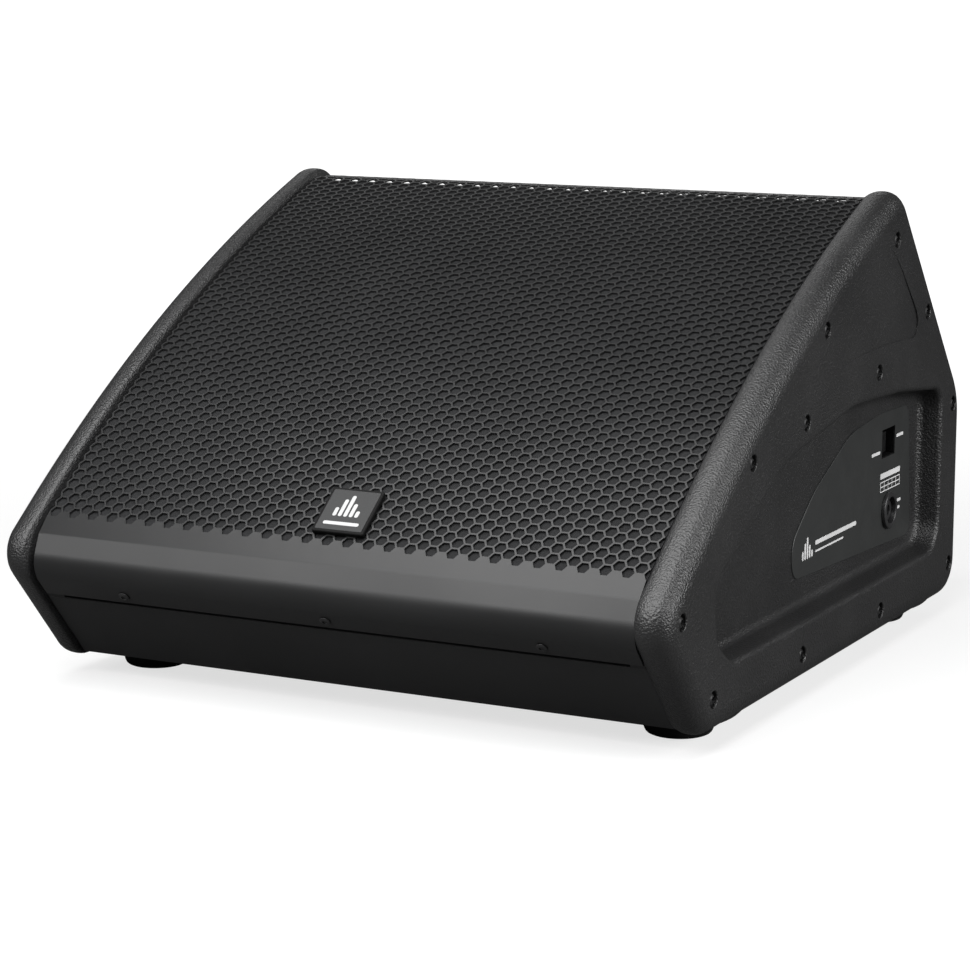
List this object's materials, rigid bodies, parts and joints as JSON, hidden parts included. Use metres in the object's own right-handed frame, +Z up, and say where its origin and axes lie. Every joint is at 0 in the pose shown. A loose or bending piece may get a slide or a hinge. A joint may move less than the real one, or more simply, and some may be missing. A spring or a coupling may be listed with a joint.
{
  "type": "stage monitor wedge",
  "caption": "Floor monitor loudspeaker with a sloping perforated steel grille, grained moulded end cheeks, side connector recess and rubber feet.",
  "frame": {"origin": "on the floor under the middle of the bounding box, level with the bottoms of the rubber feet", "axes": "+Z up, +Y towards the back, -Y the low front edge, +X the side with the mode switch"},
  "size_m": [0.54, 0.6, 0.3602],
  "materials": {
    "cheek_plastic": "pebble-grained black moulding",
    "painted_ply": "plywood with hard black paint",
    "grille_steel": "satin black powder coat on perforated steel",
    "foam": "thin dark open-cell foam",
    "badge_plastic": "satin dark grey",
    "screw_steel": "blackened steel",
    "rubber": "black moulded rubber",
    "plate_plastic": "smooth dark grey overlay",
    "connector_plastic": "black, slight sheen",
    "switch_plastic": "black",
    "basket_metal": "black pressed steel",
    "magnet": "dark grey passivated steel and ferrite",
    "cone_paper": "black treated paper",
    "coil_former": "copper-wound former",
    "surround_cloth": "black doped cloth",
    "spider_cloth": "amber impregnated cloth",
    "horn_plastic": "black moulded horn",
    "diaphragm": "bare thin metal dome",
    "port_plastic": "black tube",
    "circuit_board": "green circuit board",
    "copper_coil": "enamelled copper winding",
    "capacitor": "red-brown film capacitor",
    "damping_fibre": "pale polyester wadding"
  },
  "bodies": {
    "cabinet": {"cheek_right": "cheek_plastic", "cheek_left": "cheek_plastic", "end_panel_right": "painted_ply", "end_panel_left": "painted_ply", "bottom_panel": "painted_ply", "lower_front_panel": "painted_ply", "rear_panel": "painted_ply", "rear_slope_panel": "painted_ply", "top_panel": "painted_ply", "baffle": "painted_ply", "grille": "grille_steel", "grille_foam": "foam", "badge": "badge_plastic", "grille_screw_left": "screw_steel", "grille_screw_middle": "screw_steel", "grille_screw_right": "screw_steel", "foot_front_left": "rubber", "foot_rear_left": "rubber", "foot_front_right": "rubber", "foot_rear_right": "rubber", "foot_screw_front_left": "screw_steel", "foot_screw_rear_left": "screw_steel", "foot_screw_front_right": "screw_steel", "foot_screw_rear_right": "screw_steel", "side_plate_right": "plate_plastic", "side_plate_left": "plate_plastic", "speaker_connector_right": "connector_plastic", "speaker_connector_left": "connector_plastic", "mode_switch_housing": "switch_plastic", "cheek_screw_01": "screw_steel", "cheek_screw_02": "screw_steel", "cheek_screw_03": "screw_steel", "cheek_screw_04": "screw_steel", "cheek_screw_05": "screw_steel", "cheek_screw_06": "screw_steel", "cheek_screw_07": "screw_steel", "cheek_screw_08": "screw_steel", "cheek_screw_09": "screw_steel", "cheek_screw_10": "screw_steel", "cheek_screw_11": "screw_steel", "cheek_screw_12": "screw_steel", "driver_basket": "basket_metal", "driver_magnet": "magnet", "surround": "surround_cloth", "spider": "spider_cloth", "horn": "horn_plastic", "compression_driver_body": "magnet", "compression_driver_cap": "magnet", "port_tube_left": "port_plastic", "port_tube_right": "port_plastic", "crossover_board": "circuit_board", "crossover_coil_1": "copper_coil", "crossover_coil_2": "copper_coil", "crossover_capacitor_1": "capacitor", "crossover_capacitor_2": "capacitor", "damping_pad": "damping_fibre"},
    "driver_moving": {"driver_cone": "cone_paper", "voice_coil": "coil_former"},
    "hf_moving": {"hf_diaphragm": "diaphragm"},
    "switch_slider": {"mode_switch_slider": "switch_plastic"}
  },
  "joints": [
    {"name": "mode_switch_slide", "type": "slide", "parent": "cabinet", "child": "switch_slider", "axis": [0, 1, 0], "range_m": [0, 0.008]},
    {"name": "cone_travel", "type": "slide", "parent": "cabinet", "child": "driver_moving", "axis": [0, -0.4924, 0.8704], "range_m": [-0.006, 0.006], "stiffness_N_per_m": 4000, "deforming": ["surround", "spider"]},
    {"name": "diaphragm_travel", "type": "slide", "parent": "cabinet", "child": "hf_moving", "axis": [0, -0.4924, 0.8704], "range_m": [-0.00025, 0.00025], "stiffness_N_per_m": 8000}
  ]
}
